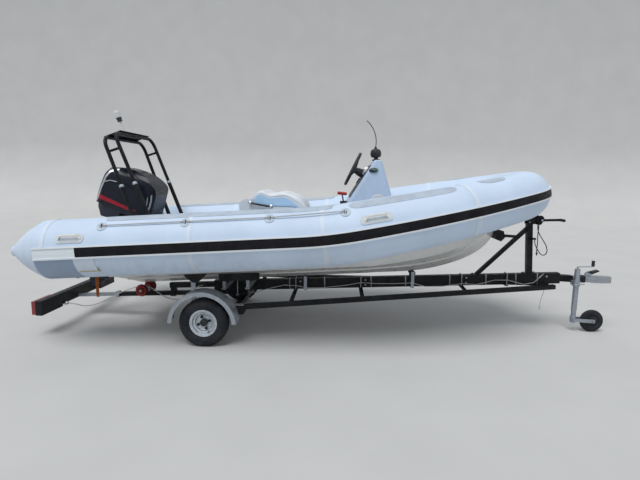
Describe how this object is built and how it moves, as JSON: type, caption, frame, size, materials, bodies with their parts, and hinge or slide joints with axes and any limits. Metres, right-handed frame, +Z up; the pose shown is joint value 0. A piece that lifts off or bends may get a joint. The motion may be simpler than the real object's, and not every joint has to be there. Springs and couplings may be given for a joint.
{
  "type": "rigid inflatable boat on a road trailer",
  "caption": "Rigid inflatable boat with console, seat, light arch and tilted outboard motor, parked on a two-wheel road trailer with its jockey wheel down.",
  "frame": {"origin": "on the ground under the middle of the object's length, on its centre plane", "axes": "+X forward, to the bow and the coupling; +Y to port; +Z up"},
  "size_m": [5.2644, 1.9916, 2.0087],
  "materials": {
    "tube_fabric": "satin",
    "cone_fabric": "satin",
    "strake_black": "satin",
    "strake_white": "satin",
    "hull_gelcoat": "gloss",
    "console_gelcoat": "gloss",
    "black_plastic": "satin",
    "lamp_body": "gloss",
    "seat_vinyl": "satin",
    "arch_black": "satin",
    "light_white": "gloss",
    "handle_white": "matte",
    "rope_white": "matte",
    "motor_navy": "gloss",
    "motor_block": "matte",
    "cowl_navy": "gloss",
    "prop_metal": "satin",
    "frame_black": "satin",
    "galvanised": "satin",
    "tyre_rubber": "matte",
    "rim_silver": "satin",
    "roller_rubber": "matte",
    "pad_rubber": "matte",
    "board_black": "matte",
    "lens_red": "gloss",
    "cable_grey": "satin",
    "rope_black": "matte",
    "cable_steel": "satin",
    "strap_orange": "matte"
  },
  "bodies": {
    "boat_and_trailer": {"tube_starboard": "tube_fabric", "tube_port": "tube_fabric", "tube_bow": "tube_fabric", "tube_cones": "cone_fabric", "rub_strake": "strake_black", "strake_trim": "strake_white", "hull": "hull_gelcoat", "transom": "hull_gelcoat", "console": "console_gelcoat", "console_fittings": "black_plastic", "side_lights": "lamp_body", "seat_base": "console_gelcoat", "seat_cushion": "seat_vinyl", "seat_handles": "black_plastic", "light_arch": "arch_black", "stern_light": "light_white", "carry_handles": "handle_white", "lifeline_rings": "handle_white", "lifelines": "rope_white", "clamp_bracket": "motor_navy", "spine": "frame_black", "slide_bar": "galvanised", "rail_starboard": "frame_black", "rail_port": "frame_black", "cross_members": "frame_black", "u_bolts": "galvanised", "axle": "frame_black", "fender_starboard": "galvanised", "fender_port": "galvanised", "rollers": "roller_rubber", "roller_brackets": "galvanised", "support_frame": "galvanised", "support_pads": "pad_rubber", "winch_post": "frame_black", "winch": "frame_black", "bow_snubber": "pad_rubber", "coupling": "galvanised", "jockey_tube": "galvanised", "light_board": "board_black", "lamps": "lens_red", "lamp_cable": "cable_grey", "winch_rope": "rope_black", "rope_tail": "rope_black", "breakaway_cable": "cable_steel", "cord_ends": "rope_black", "wiring": "cable_grey", "hanging_strap": "strap_orange"},
    "wheel_starboard": {"tyre_starboard": "tyre_rubber", "rim_starboard": "rim_silver"},
    "wheel_port": {"tyre_port": "tyre_rubber", "rim_port": "rim_silver"},
    "jockey_slide": {"jockey_leg": "galvanised"},
    "jockey_caster": {"jockey_fork": "galvanised"},
    "jockey_roller": {"jockey_wheel": "tyre_rubber"},
    "motor_tilt": {"swivel_bracket": "motor_navy"},
    "motor_steer": {"outboard_leg": "motor_navy", "cowl": "cowl_navy", "engine_block": "motor_block"},
    "motor_propeller": {"propeller": "prop_metal"},
    "helm": {"steering_wheel": "black_plastic"}
  },
  "joints": [
    {"name": "road_wheel_starboard", "type": "hinge", "parent": "boat_and_trailer", "child": "wheel_starboard", "pos_m": [-1.06179, -0.7, 0.2035], "axis": [0, 1, 0], "continuous": true},
    {"name": "road_wheel_port", "type": "hinge", "parent": "boat_and_trailer", "child": "wheel_port", "pos_m": [-1.06179, 0.7, 0.2035], "axis": [0, 1, 0], "continuous": true},
    {"name": "jockey_height", "type": "slide", "parent": "boat_and_trailer", "child": "jockey_slide", "axis": [0, 0, 1], "range_m": [-0.15, 0.055]},
    {"name": "jockey_swivel", "type": "hinge", "parent": "jockey_slide", "child": "jockey_caster", "pos_m": [2.27321, -0.088, 0.146], "axis": [0, 0, 1], "continuous": true},
    {"name": "jockey_wheel_spin", "type": "hinge", "parent": "jockey_caster", "child": "jockey_roller", "pos_m": [2.44321, -0.088, 0.105], "axis": [0, 1, 0], "continuous": true},
    {"name": "outboard_tilt", "type": "hinge", "parent": "boat_and_trailer", "child": "motor_tilt", "pos_m": [-1.9017, 0, 0.97997], "axis": [0, 1, 0], "range_deg": [0, 48]},
    {"name": "outboard_steer", "type": "hinge", "parent": "motor_tilt", "child": "motor_steer", "pos_m": [-2.00263, 0, 1.00891], "axis": [0.2756, 0, 0.9613], "range_deg": [-30, 30]},
    {"name": "propeller_spin", "type": "hinge", "parent": "motor_steer", "child": "motor_propeller", "pos_m": [-2.46288, 0, 0.48133], "axis": [0.9613, 0, -0.2756], "continuous": true},
    {"name": "helm_turn", "type": "hinge", "parent": "boat_and_trailer", "child": "helm", "pos_m": [0.16724, 0, 1.49255], "axis": [-0.9018, 0, 0.4321], "range_deg": [-540, 540]}
  ],
  "couplings": [
    {"joint": "helm_turn", "follows": "outboard_steer", "ratio": 18}
  ]
}
